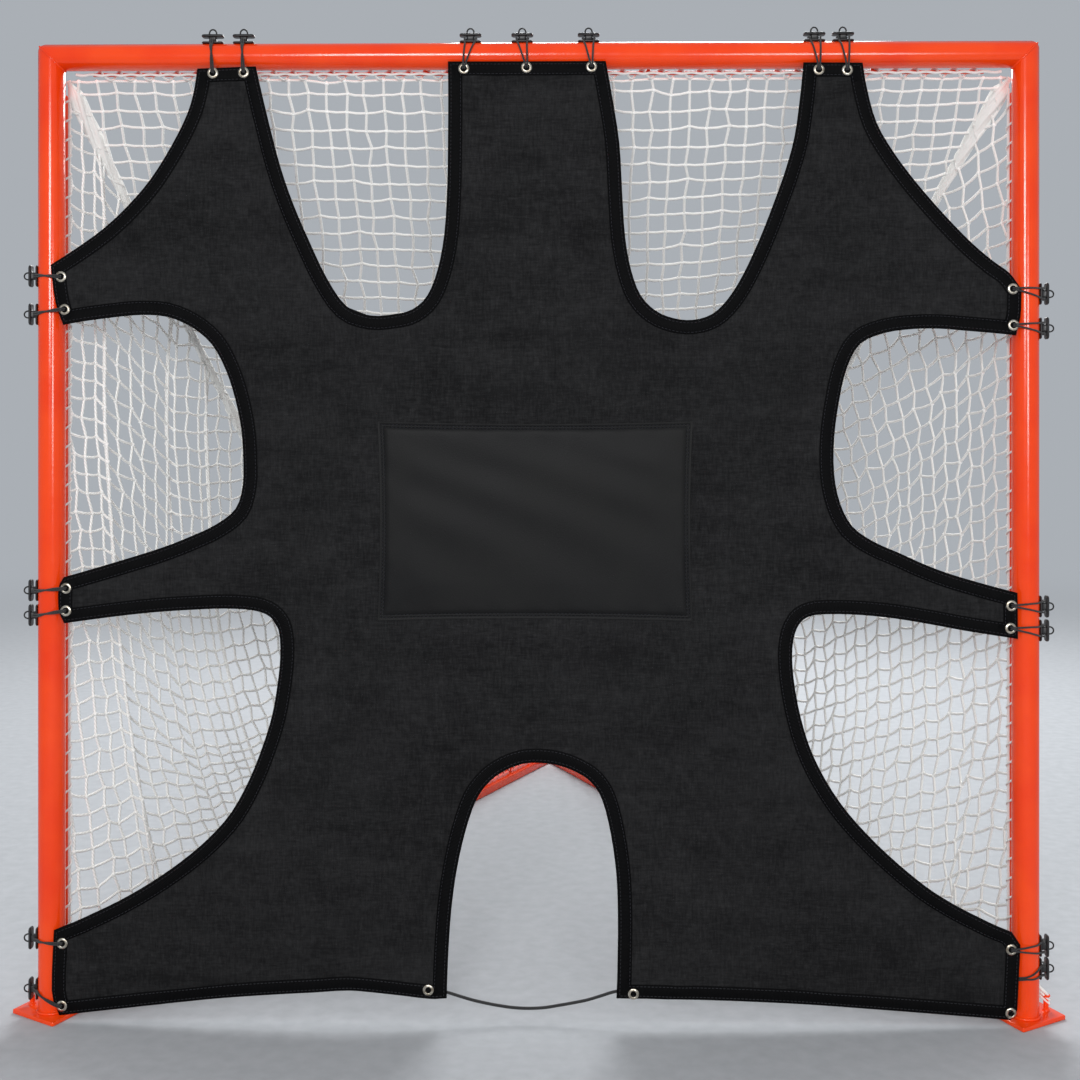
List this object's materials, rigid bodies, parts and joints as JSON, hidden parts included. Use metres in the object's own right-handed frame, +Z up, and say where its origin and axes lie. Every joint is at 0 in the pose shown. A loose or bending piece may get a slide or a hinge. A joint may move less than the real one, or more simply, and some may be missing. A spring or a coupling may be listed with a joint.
{
  "type": "net goal with shooting target",
  "caption": "Steel tube goal with a triangular base and knotted net; a cloth target with cut-outs to aim at is tied across its mouth by elastic loops and toggles.",
  "frame": {"origin": "on the ground, under the middle of the whole", "axes": "+X to the right seen from in front of the mouth, +Y from the mouth back to the point of the base, +Z up"},
  "size_m": [2.0356, 2.2192, 1.8969],
  "materials": {
    "painted_steel": "gloss",
    "net_cord": "matte",
    "target_fabric": "matte",
    "webbing": "matte",
    "coated_fabric": "satin",
    "elastic": "matte",
    "toggle_plastic": "satin",
    "grommet_nickel": "satin"
  },
  "bodies": {
    "goal": {"left_post": "painted_steel", "right_post": "painted_steel", "crossbar": "painted_steel", "left_foot_plate": "painted_steel", "right_foot_plate": "painted_steel", "left_ground_bar": "painted_steel", "right_ground_bar": "painted_steel", "crossbar_lacing_rod": "painted_steel", "left_post_lacing_rod": "painted_steel", "right_post_lacing_rod": "painted_steel", "left_bar_lacing_rod": "painted_steel", "right_bar_lacing_rod": "painted_steel", "back_net": "net_cord", "left_side_net": "net_cord", "right_side_net": "net_cord", "left_ridge_rope": "net_cord", "right_ridge_rope": "net_cord", "target_sheet": "target_fabric", "edge_binding": "webbing", "centre_panel": "coated_fabric", "arch_cord": "elastic", "tie_top_1": "elastic", "tie_top_2": "elastic", "tie_top_3": "elastic", "tie_top_4": "elastic", "tie_top_5": "elastic", "tie_top_6": "elastic", "tie_top_7": "elastic", "tie_left_1": "elastic", "tie_left_2": "elastic", "tie_left_3": "elastic", "tie_left_4": "elastic", "tie_left_5": "elastic", "tie_left_6": "elastic", "tie_right_1": "elastic", "tie_right_2": "elastic", "tie_right_3": "elastic", "tie_right_4": "elastic", "tie_right_5": "elastic", "tie_right_6": "elastic"},
    "toggle_top_1": {"toggle_top_1": "toggle_plastic"},
    "toggle_top_2": {"toggle_top_2": "toggle_plastic"},
    "toggle_top_3": {"toggle_top_3": "toggle_plastic"},
    "toggle_top_4": {"toggle_top_4": "toggle_plastic"},
    "toggle_top_5": {"toggle_top_5": "toggle_plastic"},
    "toggle_top_6": {"toggle_top_6": "toggle_plastic"},
    "toggle_top_7": {"toggle_top_7": "toggle_plastic"},
    "toggle_left_1": {"toggle_left_1": "toggle_plastic"},
    "toggle_left_2": {"toggle_left_2": "toggle_plastic"},
    "toggle_left_3": {"toggle_left_3": "toggle_plastic"},
    "toggle_left_4": {"toggle_left_4": "toggle_plastic"},
    "toggle_left_5": {"toggle_left_5": "toggle_plastic"},
    "toggle_left_6": {"toggle_left_6": "toggle_plastic"},
    "toggle_right_1": {"toggle_right_1": "toggle_plastic"},
    "toggle_right_2": {"toggle_right_2": "toggle_plastic"},
    "toggle_right_3": {"toggle_right_3": "toggle_plastic"},
    "toggle_right_4": {"toggle_right_4": "toggle_plastic"},
    "toggle_right_5": {"toggle_right_5": "toggle_plastic"},
    "toggle_right_6": {"toggle_right_6": "toggle_plastic"}
  },
  "joints": [
    {"name": "toggle_top_1_pull", "type": "slide", "parent": "goal", "child": "toggle_top_1", "axis": [0, 0, 1], "range_m": [0, 0.03], "stiffness_N_per_m": 150, "springref_m": -0.02, "deforming": ["tie_top_1"]},
    {"name": "toggle_top_2_pull", "type": "slide", "parent": "goal", "child": "toggle_top_2", "axis": [0, 0, 1], "range_m": [0, 0.03], "stiffness_N_per_m": 150, "springref_m": -0.02, "deforming": ["tie_top_2"]},
    {"name": "toggle_top_3_pull", "type": "slide", "parent": "goal", "child": "toggle_top_3", "axis": [0, 0, 1], "range_m": [0, 0.03], "stiffness_N_per_m": 150, "springref_m": -0.02, "deforming": ["tie_top_3"]},
    {"name": "toggle_top_4_pull", "type": "slide", "parent": "goal", "child": "toggle_top_4", "axis": [0, 0, 1], "range_m": [0, 0.03], "stiffness_N_per_m": 150, "springref_m": -0.02, "deforming": ["tie_top_4"]},
    {"name": "toggle_top_5_pull", "type": "slide", "parent": "goal", "child": "toggle_top_5", "axis": [0, 0, 1], "range_m": [0, 0.03], "stiffness_N_per_m": 150, "springref_m": -0.02, "deforming": ["tie_top_5"]},
    {"name": "toggle_top_6_pull", "type": "slide", "parent": "goal", "child": "toggle_top_6", "axis": [0, 0, 1], "range_m": [0, 0.03], "stiffness_N_per_m": 150, "springref_m": -0.02, "deforming": ["tie_top_6"]},
    {"name": "toggle_top_7_pull", "type": "slide", "parent": "goal", "child": "toggle_top_7", "axis": [0, 0, 1], "range_m": [0, 0.03], "stiffness_N_per_m": 150, "springref_m": -0.02, "deforming": ["tie_top_7"]},
    {"name": "toggle_left_1_pull", "type": "slide", "parent": "goal", "child": "toggle_left_1", "axis": [-1, 0, 0], "range_m": [0, 0.03], "stiffness_N_per_m": 150, "springref_m": -0.02, "deforming": ["tie_left_1"]},
    {"name": "toggle_left_2_pull", "type": "slide", "parent": "goal", "child": "toggle_left_2", "axis": [-1, 0, 0], "range_m": [0, 0.03], "stiffness_N_per_m": 150, "springref_m": -0.02, "deforming": ["tie_left_2"]},
    {"name": "toggle_left_3_pull", "type": "slide", "parent": "goal", "child": "toggle_left_3", "axis": [-1, 0, 0], "range_m": [0, 0.03], "stiffness_N_per_m": 150, "springref_m": -0.02, "deforming": ["tie_left_3"]},
    {"name": "toggle_left_4_pull", "type": "slide", "parent": "goal", "child": "toggle_left_4", "axis": [-1, 0, 0], "range_m": [0, 0.03], "stiffness_N_per_m": 150, "springref_m": -0.02, "deforming": ["tie_left_4"]},
    {"name": "toggle_left_5_pull", "type": "slide", "parent": "goal", "child": "toggle_left_5", "axis": [-1, 0, 0], "range_m": [0, 0.03], "stiffness_N_per_m": 150, "springref_m": -0.02, "deforming": ["tie_left_5"]},
    {"name": "toggle_left_6_pull", "type": "slide", "parent": "goal", "child": "toggle_left_6", "axis": [-1, 0, 0], "range_m": [0, 0.03], "stiffness_N_per_m": 150, "springref_m": -0.02, "deforming": ["tie_left_6"]},
    {"name": "toggle_right_1_pull", "type": "slide", "parent": "goal", "child": "toggle_right_1", "axis": [1, 0, 0], "range_m": [0, 0.03], "stiffness_N_per_m": 150, "springref_m": -0.02, "deforming": ["tie_right_1"]},
    {"name": "toggle_right_2_pull", "type": "slide", "parent": "goal", "child": "toggle_right_2", "axis": [1, 0, 0], "range_m": [0, 0.03], "stiffness_N_per_m": 150, "springref_m": -0.02, "deforming": ["tie_right_2"]},
    {"name": "toggle_right_3_pull", "type": "slide", "parent": "goal", "child": "toggle_right_3", "axis": [1, 0, 0], "range_m": [0, 0.03], "stiffness_N_per_m": 150, "springref_m": -0.02, "deforming": ["tie_right_3"]},
    {"name": "toggle_right_4_pull", "type": "slide", "parent": "goal", "child": "toggle_right_4", "axis": [1, 0, 0], "range_m": [0, 0.03], "stiffness_N_per_m": 150, "springref_m": -0.02, "deforming": ["tie_right_4"]},
    {"name": "toggle_right_5_pull", "type": "slide", "parent": "goal", "child": "toggle_right_5", "axis": [1, 0, 0], "range_m": [0, 0.03], "stiffness_N_per_m": 150, "springref_m": -0.02, "deforming": ["tie_right_5"]},
    {"name": "toggle_right_6_pull", "type": "slide", "parent": "goal", "child": "toggle_right_6", "axis": [1, 0, 0], "range_m": [0, 0.03], "stiffness_N_per_m": 150, "springref_m": -0.02, "deforming": ["tie_right_6"]}
  ]
}
